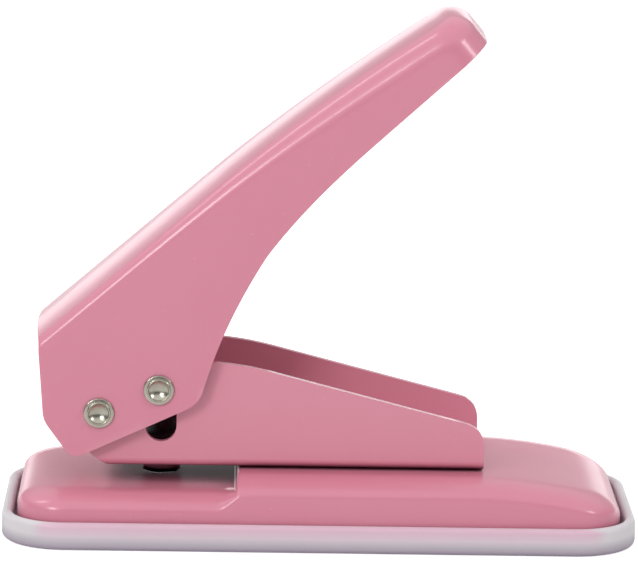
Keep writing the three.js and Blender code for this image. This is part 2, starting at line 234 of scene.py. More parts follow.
# Each row of the section is how far it lies inside the outline, and its height. Rows at the two ends
# run in towards the middle line to close the floor.
lip = TRAY_WALL / 2
section = np.concatenate([
    arc((TRAY_EDGE, TRAY_EDGE), TRAY_EDGE, 270, 180, 8),
    arc((lip, TRAY_HEIGHT - lip), lip, 180, 0, 14),
    arc((TRAY_WALL + TRAY_INNER, TRAY_FLOOR + TRAY_INNER), TRAY_INNER, 180, 270, 5),
])
tray_a = TRAY_LENGTH / 2 - TRAY_CORNER
plan, plan_normal, plan_middle = round_plan(
    TRAY_LENGTH, TRAY_WIDTH, TRAY_CORNER, np.linspace(-tray_a, tray_a, 40), 16)
walls = plan - plan_normal * section[:, :1, None]
walls = np.concatenate([walls, np.broadcast_to(section[:, 1:, None], walls.shape[:2] + (1,))], -1)
to_middle = np.linspace(0, 1, 7)[1:, None, None]
middle = np.concatenate([plan_middle, np.zeros((len(plan), 1))], -1)
under = walls[0] + (middle - walls[0]) * to_middle * [1, 1, 0]
floor = walls[-1] + (middle - walls[-1]) * to_middle * [1, 1, 0]
tray = surface("tray_moulding", np.concatenate([under[::-1], walls, floor]), around=True)


def group(name, inputs, outputs):
    """An empty shader node group with float inputs and outputs; returns it with its two end nodes."""
    tree = bpy.data.node_groups.new(name, "ShaderNodeTree")
    for socket, value in inputs.items():
        made = tree.interface.new_socket(socket, in_out="INPUT", socket_type="NodeSocketFloat")
        made.default_value = value
    for socket in outputs:
        tree.interface.new_socket(socket, in_out="OUTPUT", socket_type="NodeSocketFloat")
    return tree, tree.nodes.new("NodeGroupInput"), tree.nodes.new("NodeGroupOutput")


# Cloud: slow unevenness from 0 to 1, for haze in plastic and for how paint and plating vary.
cloud, cloud_in, cloud_out = group("cloud", {"Scale": 60, "Contrast": 1}, ["Amount"])
cloud_place = add(cloud, "TexCoord")
cloud_noise = add(cloud, "TexNoise", {"Detail": 3, "Roughness": 0.55})
cloud_spread = add(cloud, "Math", {1: 0.5}, operation="SUBTRACT")
cloud_gain = add(cloud, "Math", operation="MULTIPLY")
cloud_back = add(cloud, "Math", {1: 0.5}, operation="ADD", use_clamp=True)
join(cloud, cloud_place, "Object", cloud_noise, "Vector")
join(cloud, cloud_in, "Scale", cloud_noise, "Scale")
join(cloud, cloud_noise, "Fac", cloud_spread, 0)
join(cloud, cloud_spread, 0, cloud_gain, 0)
join(cloud, cloud_in, "Contrast", cloud_gain, 1)
join(cloud, cloud_gain, 0, cloud_back, 0)
join(cloud, cloud_back, 0, cloud_out, "Amount")


def finish(name):
    """A new material; returns it with its node tree and its Principled BSDF."""
    made = bpy.data.materials.new(name)
    made.use_nodes = True
    return made, made.node_tree, made.node_tree.nodes["Principled BSDF"]


def use_group(tree, which, **values):
    placed = tree.nodes.new("ShaderNodeGroup")
    placed.node_tree = which
    for name, value in values.items():
        placed.inputs[name].default_value = value
    return placed


def between(tree, source, output, low, high, target, socket):
    """Feeds a 0 to 1 value into a socket, spread between low and high."""
    spread = add(tree, "MapRange", {"To Min": low, "To Max": high})
    join(tree, source, output, spread, "Value")
    join(tree, spread, "Result", target, socket)


def blend_colours(tree, source, output, first, second, target):
    """Mixes two colours by a 0 to 1 value into a base colour, and returns the Mix node."""
    mix = add(tree, "Mix", data_type="RGBA")
    mix.inputs[6].default_value, mix.inputs[7].default_value = (*first, 1), (*second, 1)
    join(tree, source, output, mix, 0)
    tree.links.new(mix.outputs[2], target.inputs["Base Color"])
    return mix


def lay_over(tree, under, source, output, colour):
    """Mixes a colour over an earlier Mix node's by a 0 to 1 value, and returns the new Mix node."""
    mix = add(tree, "Mix", data_type="RGBA")
    mix.inputs[7].default_value = (*colour, 1)
    join(tree, source, output, mix, 0)
    tree.links.new(under.outputs[2], mix.inputs[6])
    return mix


def darken(tree, under, source, output, colour):
    """Multiplies an earlier Mix node's colour by this one, less and less as a value goes from 0 to 1."""
    tint = add(tree, "Mix", data_type="RGBA")
    tint.inputs[6].default_value, tint.inputs[7].default_value = (*colour, 1), (1, 1, 1, 1)
    join(tree, source, output, tint, 0)
    mix = add(tree, "Mix", data_type="RGBA", blend_type="MULTIPLY")
    mix.inputs[0].default_value = 1
    tree.links.new(under.outputs[2], mix.inputs[6])
    tree.links.new(tint.outputs[2], mix.inputs[7])
    return mix


tray_plastic, tree, shader = finish("cloudy clear plastic")
haze = use_group(tree, cloud, Scale=45, Contrast=1.4)
haze_mix = blend_colours(tree, haze, "Amount", (0.93, 0.89, 0.93), (0.97, 0.94, 0.97), shader)
# Painted light: the pink of the enamel behind the two long walls is painted into their colour, as if it
# shone through them, more in their upper half.
place = add(tree, "TexCoord")
axes = add(tree, "SeparateXYZ")
upper = add(tree, "MapRange", {"From Min": 0.0015, "From Max": 0.0042})
side = add(tree, "Math", operation="ABSOLUTE")
long_side = add(tree, "MapRange", {"From Min": 0.0212, "From Max": 0.0222})
both = add(tree, "Math", operation="MULTIPLY")
join(tree, place, "Object", axes, "Vector")
join(tree, axes, "Z", upper, "Value")
join(tree, axes, "Y", side, 0)
join(tree, side, 0, long_side, "Value")
join(tree, upper, "Result", both, 0)
join(tree, long_side, "Result", both, 1)
painted_show_through_mix = lay_over(tree, haze_mix, both, 0, (1.0, 0.68, 0.82))
# Towards the foot the wall is in its own shade.
foot = add(tree, "MapRange", {"From Min": 0.0004, "From Max": 0.0026})
join(tree, axes, "Z", foot, "Value")
foot_mix = darken(tree, painted_show_through_mix, foot, "Result", (0.57, 0.50, 0.60))
tree.links.new(foot_mix.outputs[2], shader.inputs["Base Color"])
grain = use_group(tree, cloud, Scale=1400, Contrast=1)
relief = add(tree, "Bump", {"Strength": 0.15, "Distance": 0.00005})
join(tree, grain, "Amount", relief, "Height")
join(tree, relief, "Normal", shader, "Normal")
between(tree, haze, "Amount", 0.37, 0.44, shader, "Roughness")
shader.inputs["IOR"].default_value = 1.49
shader.inputs["Transmission Weight"].default_value = 0.3
tray.data.materials.append(tray_plastic)
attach(tray, "tray")
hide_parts("chip_tray")


# ---- Base cover ----------------------------------------------------------------------------------
# The cover is drawn from one sheet of steel in two levels: the low one is the floor of the throat, and
# the step up to the deck is what the paper stops against. It is enamelled pink after it is pressed.

COVER_LENGTH, COVER_WIDTH, COVER_CORNER, COVER_SHEET = 105.0, 41.0, 8.5, 1.0
COVER_SKIRT, THROAT, DECK, FILLET_REACH, FILLET_DROP = 1.8, 9.3, 12.1, 6.5, 3.0
STEP_X, STEP_EDGE, STEP_FOOT, STEP_LEAN = -14.6, 0.8, 0.35, 0.2
MELT_RUN, MELT_BEHIND = 5.0, 0.7
SLOPE_X, SLOPE_RADIUS = 26.0, 90.0
PUNCH_X, COVER_HOLE, HOLE_CUT = -27.7, 3.3, (5, 11)

# The middle line's X and height: floor, rounded foot, riser, rounded edge, deck, and the slope's arc.
slope_x = np.linspace(SLOPE_X, COVER_LENGTH / 2, 30)
deck_line = np.concatenate([
    [[-COVER_LENGTH / 2, THROAT]],
    arc((STEP_X - STEP_FOOT, THROAT + STEP_FOOT), STEP_FOOT, 270, 357, 5),
    arc((STEP_X + STEP_LEAN + STEP_EDGE, DECK - STEP_EDGE), STEP_EDGE, 178, 90, 8),
    np.stack([slope_x, DECK - (slope_x - SLOPE_X) ** 2 / (2 * SLOPE_RADIUS)], -1),
])

cover_a = COVER_LENGTH / 2 - COVER_CORNER
cover_along = np.unique(np.concatenate([
    np.linspace(-cover_a, STEP_X - 1, 40),
    deck_line[1:-len(slope_x) - 1, 0],
    np.linspace(-12, cover_a, 60),
]))
plan, plan_normal, plan_middle = round_plan(COVER_LENGTH, COVER_WIDTH, COVER_CORNER, cover_along, 14)
skirt_rows = 4
turn = np.radians(np.linspace(0, 90, 13))
inset = np.concatenate([np.zeros(skirt_rows), FILLET_REACH * (1 - np.cos(turn))])[:, None]
edge = plan - plan_normal * inset[..., None]
to_middle = np.linspace(0, 1, 15)[1:, None, None]
cover_plan = np.concatenate([edge, edge[-1] + (plan_middle - edge[-1]) * to_middle])
# Height: up the skirt, round the fillet as a quarter ellipse, then level with the middle line.
roof = np.interp(cover_plan[..., 0], deck_line[:, 0], deck_line[:, 1])
# Near each long side the riser eases out into a slope, so that the step melts into the skirt. The slope
# is MELT_RUN long, and MELT_BEHIND is the share of it that lies on the throat's side of the riser.
rise = np.clip((cover_plan[..., 0] - STEP_X) / MELT_RUN + MELT_BEHIND, 0, 1)
slope = THROAT + (DECK - THROAT) * rise ** 2 * (3 - 2 * rise)
near_edge = 1 - np.clip((COVER_WIDTH / 2 - np.abs(cover_plan[..., 1])) / FILLET_REACH, 0, 1)
roof += (slope - roof) * near_edge * (cover_plan[..., 0] < SLOPE_X)
height = roof.copy()
fillet = slice(skirt_rows, skirt_rows + len(turn))
height[fillet] += FILLET_DROP * (np.sin(turn)[:, None] - 1)
skirt_top = roof[:skirt_rows] - FILLET_DROP
height[:skirt_rows] = COVER_SKIRT + (skirt_top - COVER_SKIRT) * np.linspace(0, 0.9, skirt_rows)[:, None]
cover_points = np.concatenate([cover_plan, height[..., None]], -1)
cover = surface("cover_pressing", cover_points, around=True)


def settle(piece):
    """Turns a piece's modifiers into plain mesh."""
    settled = bpy.data.meshes.new_from_object(piece.evaluated_get(bpy.context.evaluated_depsgraph_get()))
    piece.modifiers.clear()
    piece.data = settled


def thicken(piece, sheet):
    """Gives a surface the thickness of its sheet, on the inside."""
    wall = piece.modifiers.new("sheet", "SOLIDIFY")
    wall.thickness, wall.offset, wall.use_even_offset = sheet * MM, -1, True
    settle(piece)


def cut(piece, cutter, operation="DIFFERENCE"):
    """Takes a closed cutter out of a piece, adds it on (UNION) or keeps what they share (INTERSECT)."""
    joint = piece.modifiers.new("cut", "BOOLEAN")
    joint.operation, joint.object, joint.solver = operation, cutter, "EXACT"
    settle(piece)
    bpy.data.objects.remove(cutter)


def soften(piece, width, steps=2, angle=40):
    """Rounds off the sharp edges by a small width, and shades the flats as flat."""
    rounding = piece.modifiers.new("soft edge", "BEVEL")
    rounding.width, rounding.segments = width * MM, steps
    rounding.limit_method, rounding.angle_limit = "ANGLE", math.radians(angle)
    settle(piece)
    piece.data.shade_smooth()
    weighting = piece.modifiers.new("flats", "WEIGHTED_NORMAL")
    weighting.keep_sharp = True
    settle(piece)


def ease(points, radius, steps=6, closed=False):
    """Rounds the corners of a line of points: each becomes a parabola between the two places that lie
    radius from it along its sides. radius is one number, or one for each point, and never reaches
    past 0.45 of a side."""
    radius = np.broadcast_to(np.asarray(radius, float), len(points))
    before, after = np.roll(points, 1, 0) - points, np.roll(points, -1, 0) - points
    length_before, length_after = np.linalg.norm(before, axis=1), np.linalg.norm(after, axis=1)
    start = points + before * (np.minimum(radius, length_before * 0.45) / length_before)[:, None]
    end = points + after * (np.minimum(radius, length_after * 0.45) / length_after)[:, None]
    t = np.linspace(0, 1, steps + 1)[None, :, None]
    bent = (1 - t) ** 2 * start[:, None] + 2 * t * (1 - t) * points[:, None] + t ** 2 * end[:, None]
    if closed:
        return bent.reshape(-1, 2)
    return np.concatenate([points[:1], bent[1:-1].reshape(-1, 2), points[-1:]])


def turned(name, profile, centre=(0, 0, 0), axis="Z", steps=48):
    """A body of revolution: rows are a profile of radius and height, columns are equal turns round the
    axis. The profile starts and ends on the axis, lower end first, or is a closed ring beside it."""
    angle = np.linspace(0, 2 * np.pi, steps, endpoint=False)[None]
    radius, along = profile[:, :1], np.broadcast_to(profile[:, 1:], (len(profile), steps))
    points = np.stack([radius * np.cos(angle), radius * np.sin(angle), along], -1)
    if axis == "Y":
        points = np.stack([points[..., 0], points[..., 2], -points[..., 1]], -1)
    return surface(name, points + np.asarray(centre, float), around=True)


def rod(radius, centre, low, high, axis="Z"):
    """A plain round cutter between two heights along its axis."""
    profile = np.array([(0, low), (radius, low), (radius, high), (0, high)], float)
    return turned("cutter", profile, centre, axis, 64)


thicken(cover, COVER_SHEET)
cut(cover, rod(COVER_HOLE, (PUNCH_X, 0, 0), *HOLE_CUT))
soften(cover, 0.15)

# Ripple: the faint orange peel of sprayed enamel, as a height.
ripple, ripple_in, ripple_out = group("ripple", {"Scale": 350}, ["Height"])
ripple_place = add(ripple, "TexCoord")
ripple_noise = add(ripple, "TexNoise", {"Detail": 1.5, "Roughness": 0.4})
join(ripple, ripple_place, "Object", ripple_noise, "Vector")
join(ripple, ripple_in, "Scale", ripple_noise, "Scale")
join(ripple, ripple_noise, "Fac", ripple_out, "Height")

# Specks: a few fine dots of dust, from 0 to 1.
specks, specks_in, specks_out = group("specks", {"Scale": 900, "Size": 0.1}, ["Amount"])
specks_place = add(specks, "TexCoord")
specks_cells = add(specks, "TexVoronoi")
specks_edge = add(specks, "Math", operation="LESS_THAN")
join(specks, specks_place, "Object", specks_cells, "Vector")
join(specks, specks_in, "Scale", specks_cells, "Scale")
join(specks, specks_cells, "Distance", specks_edge, 0)
join(specks, specks_in, "Size", specks_edge, 1)
join(specks, specks_edge, 0, specks_out, "Amount")

enamel, tree, shader = finish("pink enamel")
shade = use_group(tree, cloud, Scale=28, Contrast=1.2)
shade_mix = blend_colours(tree, shade, "Amount", (0.700, 0.238, 0.330), (0.730, 0.260, 0.355), shader)
# Paint draws back from a sharp edge, so it is a little paler there.
form = add(tree, "NewGeometry")
thin = add(tree, "MapRange", {"From Min": 0.52, "From Max": 0.6, "To Min": 0, "To Max": 0.12})
join(tree, form, "Pointiness", thin, "Value")
thin_mix = lay_over(tree, shade_mix, thin, "Result", (0.86, 0.48, 0.54))
dust = use_group(tree, specks, Scale=420, Size=0.035)
dust_mix = lay_over(tree, thin_mix, dust, "Amount", (0.80, 0.42, 0.48))
# Painted shade: where the sheets lie close together, in the throat and under the frame, an
# ambient-occlusion mask darkens the paint's colour and dulls its gloss, standing in for the shade there.
shade_occlusion = add(tree, "AmbientOcclusion", {"Distance": 0.009}, samples=8)
unshaded_part = add(tree, "MapRange", {"From Min": 0.12, "From Max": 0.48})
join(tree, shade_occlusion, "AO", unshaded_part, "Value")
painted_shade_mix = darken(tree, dust_mix, unshaded_part, "Result", (0.28, 0.23, 0.27))
tree.links.new(painted_shade_mix.outputs[2], shader.inputs["Base Color"])
# The same painted shade lowers the specular and the coat in those places.
between(tree, unshaded_part, "Result", 0.1, 0.5, shader, "Specular IOR Level")
between(tree, unshaded_part, "Result", 0.0, 0.45, shader, "Coat Weight")
touch = use_group(tree, cloud, Scale=90, Contrast=1.6)
between(tree, touch, "Amount", 0.3, 0.38, shader, "Roughness")
peel = use_group(tree, ripple, Scale=420)
relief = add(tree, "Bump", {"Strength": 0.12, "Distance": 0.00008})
join(tree, peel, "Height", relief, "Height")
join(tree, relief, "Normal", shader, "Normal")
shader.inputs["IOR"].default_value = 1.5
shader.inputs["Coat Roughness"].default_value = 0.12
cover.data.materials.append(enamel)
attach(cover, "base")
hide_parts("base_cover")


# ---- Die plate -----------------------------------------------------------------------------------
# A flat plate of hardened steel, welded under the throat floor; the cutter shears the paper against
# the edge of its hole. Its faces are ground, which leaves fine lines along its length.

ground_steel, tree, shader = finish("ground steel")
place = add(tree, "TexCoord")
stretch = add(tree, "Mapping", {"Scale": (40, 2500, 400)})
lines = add(tree, "TexNoise", {"Scale": 1, "Detail": 2})
join(tree, place, "Object", stretch, "Vector")
join(tree, stretch, "Vector", lines, "Vector")
blend_colours(tree, lines, "Fac", (0.36, 0.36, 0.37), (0.50, 0.50, 0.50), shader)
between(tree, lines, "Fac", 0.25, 0.5, shader, "Roughness")
relief = add(tree, "Bump", {"Strength": 0.2, "Distance": 0.00002})
join(tree, lines, "Fac", relief, "Height")
join(tree, relief, "Normal", shader, "Normal")
shader.inputs["Metallic"].default_value = 1
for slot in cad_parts["die_plate"].material_slots:
    slot.material = ground_steel


# ---- Frame channel -------------------------------------------------------------------------------
# The channel is cut and folded from one sheet, and is enamelled like the cover. A tall slot in each
# wall lets the drive pin fall, and a collar drawn down from its floor guides the cutter.

FRAME_HALF, FRAME_SHEET, FRAME_FLOOR, FRAME_BEND = 11.5, 1.2, 12.4, 1.6
PIVOT, PIN_HOLE = (-38.4, 22.4), 2.25
SLOT_HALF, SLOT_LOW, SLOT_HIGH = 2.7, 19.6, 26.2
COLLAR_RADIUS, COLLAR_LOW, GUIDE_BORE, BORE_CUT = 3.6, 10.0, 3.12, (9, 16)
BLANK_TOP, BLANK_ENDS, FRAME_CUT = 36.0, (-48.0, 32.0), 14.0

# The fold: down one wall and up the other, with a rounded bend at each side of the floor, carried along
# X. The blank is larger than the channel, and is cut to its side view after it is folded, by cutters that
# reach FRAME_CUT to each side.
fold = np.concatenate([
    [(-FRAME_HALF, BLANK_TOP)],
    arc((FRAME_BEND - FRAME_HALF, FRAME_FLOOR + FRAME_BEND), FRAME_BEND, 180, 270, 8),
    arc((FRAME_HALF - FRAME_BEND, FRAME_FLOOR + FRAME_BEND), FRAME_BEND, 270, 360, 8),
    [(FRAME_HALF, BLANK_TOP)],
])
run = np.array(BLANK_ENDS)
channel_points = np.stack([
    np.broadcast_to(run[None], (len(fold), 2)),
    np.broadcast_to(fold[:, :1], (len(fold), 2)),
    np.broadcast_to(fold[:, 1:], (len(fold), 2)),
], -1)
channel = surface("frame_folding", channel_points[::-1])
thicken(channel, FRAME_SHEET)


def slab(outline, half_width):
    """A closed block: a side view in X and Z, given its width across Y."""
    count = len(outline)
    near = np.insert(outline, 1, -half_width, axis=1) * MM
    far = near * [1, -1, 1]
    turn_on = np.roll(np.arange(count), -1)
    sides = np.stack([np.arange(count), turn_on, turn_on + count, np.arange(count) + count], -1)
    mesh = bpy.data.meshes.new("cutter")
    mesh.from_pydata(np.concatenate([near, far]).tolist(), [], sides.tolist() + [
        list(range(count)), list(range(2 * count - 1, count - 1, -1))])
    work = bmesh.new()
    work.from_mesh(mesh)
    bmesh.ops.recalc_face_normals(work, faces=work.faces)
    work.to_mesh(mesh)
    work.free()
    piece = bpy.data.objects.new("cutter", mesh)
    bpy.context.scene.collection.objects.link(piece)
    return piece


def oblong(x, low, high, half_x, half_reach=0.0):
    """The outline of a slot with round ends: upright from low to high, or lying along X."""
    if half_reach:
        return np.concatenate([
            arc((x + half_reach, low), half_x, -90, 90, 16),
            arc((x - half_reach, low), half_x, 90, 270, 16)])
    return np.concatenate([arc((x, high), half_x, 0, 180, 20), arc((x, low), half_x, 180, 360, 20)])


wall_corners = np.array([
    (-37, 11.4), (28.5, 11.4), (28.5, 19.9), (-15, 31.05), (-37, 31.4), (-44, 24.6), (-43.5, 20.3),
    (-40.7, 15.2), (-37, 12.4)], float)
wall_rounding = (0.1, 0.1, 3.5, 6.8, 6.0, 4.2, 1.6, 0.8, 0.2)
cut(channel, slab(ease(wall_corners, wall_rounding, 10, closed=True), FRAME_CUT), "INTERSECT")
collar = ease(np.array([
    (0, COLLAR_LOW), (COLLAR_RADIUS, COLLAR_LOW), (COLLAR_RADIUS, FRAME_FLOOR - 0.02),
    (COLLAR_RADIUS + 0.5, FRAME_FLOOR + 0.4), (0, FRAME_FLOOR + 0.4)]), (0, 0.4, 0.4, 0, 0))
cut(channel, turned("collar", collar, (PUNCH_X, 0, 0), steps=64), "UNION")
cut(channel, rod(GUIDE_BORE, (PUNCH_X, 0, 0), *BORE_CUT))
cut(channel, slab(oblong(PUNCH_X, SLOT_LOW, SLOT_HIGH, SLOT_HALF), FRAME_CUT))
cut(channel, rod(PIN_HOLE, (PIVOT[0], 0, PIVOT[1]), -FRAME_CUT, FRAME_CUT, "Y"))
soften(channel, 0.22, 3)
channel.data.materials.clear()
channel.data.materials.append(enamel)
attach(channel, "base")
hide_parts("frame_channel")


# ---- Frame rivets --------------------------------------------------------------------------------
# Three domed steel rivets, nickel plated, go through the channel's floor and the deck. Their tails are
# set over underneath.

RIVET_PLACES = ((-7, -5.5), (-7, 5.5), (20, 0))
RIVET_GAP, RIVET_SHANK, RIVET_HEAD, HEAD_BRIM, HEAD_DOME = 0.15, 1.7, 3.4, 0.2, 1.1
TAIL_FOOT, TAIL_RADIUS, TAIL_DROP = 2.1, 2.7, 0.9
rivet_seat = FRAME_FLOOR + FRAME_SHEET + RIVET_GAP
rivet_tail = DECK - COVER_SHEET - RIVET_GAP
brim_top = rivet_seat + HEAD_BRIM
rivet_profile = np.concatenate([
    ease(np.array([
        (0, rivet_tail - TAIL_DROP), (TAIL_FOOT, rivet_tail - TAIL_DROP), (TAIL_RADIUS, rivet_tail),
        (RIVET_SHANK, rivet_tail), (RIVET_SHANK, rivet_seat), (RIVET_HEAD, rivet_seat),
        (RIVET_HEAD, brim_top),
    ]), 0.12, 3),
    arc((0, 0), 1, 0, 90, 12)[1:] * [RIVET_HEAD, HEAD_DOME] + [0, brim_top],
])

# Turning: the fine rings that a lathe or a rivet set leaves, from the UV map, as a value from 0 to 1.
rings, rings_in, rings_out = group("turning rings", {"Rings per mm": 9}, ["Amount"])
rings_place = add(rings, "TexCoord")
rings_split = add(rings, "SeparateXYZ")
rings_scale = add(rings, "Math", operation="MULTIPLY")
rings_along = add(rings, "Math", {1: 0.15}, operation="MULTIPLY")
rings_join = add(rings, "CombineXYZ")
rings_noise = add(rings, "TexNoise", {"Scale": 1, "Detail": 2})
join(rings, rings_place, "UV", rings_split, 0)
join(rings, rings_split, "Y", rings_scale, 0)
join(rings, rings_in, "Rings per mm", rings_scale, 1)
join(rings, rings_split, "X", rings_along, 0)
join(rings, rings_scale, 0, rings_join, "Y")
join(rings, rings_along, 0, rings_join, "X")
join(rings, rings_join, 0, rings_noise, "Vector")
join(rings, rings_noise, "Fac", rings_out, "Amount")

nickel, tree, shader = finish("nickel plate")
tarnish = use_group(tree, cloud, Scale=500, Contrast=1.3)
blend_colours(tree, tarnish, "Amount", (0.42, 0.40, 0.32), (0.60, 0.58, 0.50), shader)
marks = use_group(tree, rings)
between(tree, marks, "Amount", 0.18, 0.36, shader, "Roughness")
relief = add(tree, "Bump", {"Strength": 0.12, "Distance": 0.00003})
join(tree, marks, "Amount", relief, "Height")
join(tree, relief, "Normal", shader, "Normal")
shader.inputs["Metallic"].default_value = 1


def nickel_piece(piece, body, node):
    piece.data.materials.append(nickel)
    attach(piece, body)
    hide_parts(node)


for number, (x, y) in enumerate(RIVET_PLACES, start=1):
    rivet = turned(f"deck_rivet_{number}", rivet_profile, (x, y, 0))
    nickel_piece(rivet, "base", f"frame_rivet_{number}")


# ---- Lever ---------------------------------------------------------------------------------------
# The lever is pressed from one sheet into a deep channel that is open below and behind. Its back
# arches over towards the grip, its edges roll over more gently there, and its tip is closed and round.
# u runs along it and h square to that, both turned up by its slope at rest.

LEVER_TILT, LEVER_SHEET = math.radians(40), 1.2
LEVER_REAR_X, LEVER_TIP_U, TIP_CORNER = -49.6, 77.1, 6.5
LEVER_HALF, TIP_HALF, REAR_BEND, TIP_BEND, CROWN_RADIUS = 14.0, 12.5, 1.6, 3.8, 90.0
BACK_HEIGHT, BACK_SLOPE, ARCH_START, ARCH_WIDTH = 60.05, 0.0155, 27, 730
EASE_START, EASE_RUN = 5.0, LEVER_TIP_U - 20
LEAN_RUN, LEVER_CUT = 14.0, 16.0
DRIVE = (-28.1, 26.6)


def eased(u):
    """0 at the lever's rear and 1 at its grip, with a smooth change between."""
    t = np.clip((u - EASE_START) / EASE_RUN, 0, 1)
    return t * t * (3 - 2 * t)


def back_height(u):
    """Height of the back's middle line: straight behind ARCH_START, and a parabola after it."""
    past = u - ARCH_START
    return BACK_HEIGHT + BACK_SLOPE * np.minimum(past, 0) - np.maximum(past, 0) ** 2 / ARCH_WIDTH


def crown(y):
    """How far the back falls away from its middle line, which is crowned across its width."""
    return y ** 2 / (2 * CROWN_RADIUS)


def half_width(u):
    return LEVER_HALF + (TIP_HALF - LEVER_HALF) * eased(u)


def bend_radius(u):
    return REAR_BEND + (TIP_BEND - REAR_BEND) * eased(u)


def curve(a, b, c, steps):
    """A parabola from a to c that heads for b at both ends."""
    t = np.linspace(0, 1, steps + 1)[:, None]
    return (1 - t) ** 2 * np.array(a) + 2 * t * (1 - t) * np.array(b) + t ** 2 * np.array(c)


# The cheek's lower edge in X and Z, from its rear corner round the heel and out to the grip.
cheek_edge = np.concatenate([
    curve((-48.1, 21.9), (-47.9, 20.7), (-47.1, 19.7), 4),
    curve((-44.1, 15.6), (-43, 14.2), (-41.4, 14.8), 8),
    curve((-23.4, 23.1), (-21, 24.2), (-20.4, 26.6), 8),
    curve((-20.4, 26.6), (-17.3, 38), (-9.9, 50), 24)[1:],
    curve((-9.9, 50), (-3.8, 58.5), (7.1, 68.5), 24)[1:],
    [(26.5, 86.2), (40, 98)],
])
cos_tilt, sin_tilt = math.cos(LEVER_TILT), math.sin(LEVER_TILT)
cheek_edge = cheek_edge @ np.array([[cos_tilt, -sin_tilt], [sin_tilt, cos_tilt]])
edge_reach = np.concatenate([[0], np.cumsum(np.linalg.norm(np.diff(cheek_edge, axis=0), axis=1))])
# Past the heel the edge only runs forwards, so its height can be looked up there.
forwards = slice(20, None)

# Side stations run from the rear to where the tip's corner begins, and the others round the tip. The
# back is so nearly straight at the rear that its height there can be taken at a rough place.
side_end, side_count, rough_rear = LEVER_TIP_U - TIP_CORNER, 120, -15.5
rear_u = (LEVER_REAR_X + back_height(rough_rear) * sin_tilt) / cos_tilt
side_u = np.linspace(rear_u, side_end, side_count)
corner_y = TIP_HALF - TIP_CORNER
end_y = np.linspace(-corner_y, corner_y, 15)[1:-1]
tip_plan = np.concatenate([
    arc((side_end, -corner_y), TIP_CORNER, -90, 0, 14)[1:],
    np.stack([np.full(len(end_y), LEVER_TIP_U), end_y], -1),
    arc((side_end, corner_y), TIP_CORNER, 0, 90, 14)[:-1],
])
tip_centre = np.stack([
    np.full(len(tip_plan), side_end), np.clip(tip_plan[:, 1], -corner_y, corner_y)], -1)
tip_normal = (tip_plan - tip_centre) / TIP_CORNER

turn = np.radians(np.linspace(0, 90, 13))[:, None]
# Bend rows on a side: at the rear they lean so that the cut end stays square to the ground.
lean = np.clip(1 - (side_u - rear_u) / LEAN_RUN, 0, 1)
drop = bend_radius(side_u) * (np.sin(turn) - 1)
bend_u = side_u + lean * drop * math.tan(LEVER_TILT)
bend_y = half_width(bend_u) - bend_radius(side_u) * (1 - np.cos(turn))
bend_h = back_height(side_u) + drop - crown(bend_y)
# Wall rows on a side: straight lines from the cheek's lower edge up to the bend.
side_reach = np.interp(side_end, cheek_edge[forwards, 0], edge_reach[forwards])
low_reach = side_reach * np.linspace(0, 1, side_count)
low_u, low_h = (np.interp(low_reach, edge_reach, cheek_edge[:, i]) for i in (0, 1))
climb = np.linspace(0, 1, 16)[:-1, None]
wall_u, wall_h = low_u + (bend_u[0] - low_u) * climb, low_h + (bend_h[0] - low_h) * climb
roof = np.linspace(0, 1, 9)[1:, None]
roof_y = bend_y[-1] * (1 - roof)
side_rows = np.concatenate([
    np.stack([wall_u, half_width(wall_u), wall_h], -1), np.stack([bend_u, bend_y, bend_h], -1),
    np.stack([side_u + roof * 0, roof_y, back_height(side_u) - crown(roof_y)], -1),
])
# The tip: the same rows, stepped in along each station's normal, then in to the end of the middle line.
tip_inset = TIP_BEND * (1 - np.cos(turn))
tip_bend = tip_plan - tip_normal * tip_inset[..., None]
tip_height = back_height(tip_bend[..., 0]) - crown(tip_bend[..., 1]) + TIP_BEND * (np.sin(turn) - 1)
tip_bend = np.concatenate([tip_bend, tip_height[..., None]], -1)
tip_low = np.interp(tip_plan[:, 0], cheek_edge[forwards, 0], cheek_edge[forwards, 1])
tip_wall = np.broadcast_to(tip_plan, (len(climb),) + tip_plan.shape)
tip_wall = np.concatenate([tip_wall, (tip_low + (tip_bend[0, :, 2] - tip_low) * climb)[..., None]], -1)
tip_roof = tip_bend[-1, :, :2] * (1 - roof[..., None]) + np.array([side_end, 0]) * roof[..., None]
tip_roof = np.concatenate([tip_roof, back_height(tip_roof[..., :1]) - crown(tip_roof[..., 1:])], -1)
tip_rows = np.concatenate([tip_wall, tip_bend, tip_roof])
lever_rows = np.concatenate([side_rows * [1, -1, 1], tip_rows, side_rows[:, ::-1]], axis=1)
lever_points = np.stack([
    lever_rows[..., 0] * cos_tilt - lever_rows[..., 2] * sin_tilt, lever_rows[..., 1],
    lever_rows[..., 0] * sin_tilt + lever_rows[..., 2] * cos_tilt], -1)
lever = surface("lever_pressing", lever_points)
thicken(lever, LEVER_SHEET)
for x, z in (PIVOT, DRIVE):
    cut(lever, rod(PIN_HOLE, (x, 0, z), -LEVER_CUT, LEVER_CUT, "Y"))
soften(lever, 0.22, 3)
lever.data.materials.append(enamel)
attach(lever, "lever_set")
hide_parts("lever")


# ---- Pivot pin and drive pin ---------------------------------------------------------------------
# Both are plated steel rivets through the two cheeks. Each head is a low flange with a raised, rolled
# lip, and is dished inside the lip.

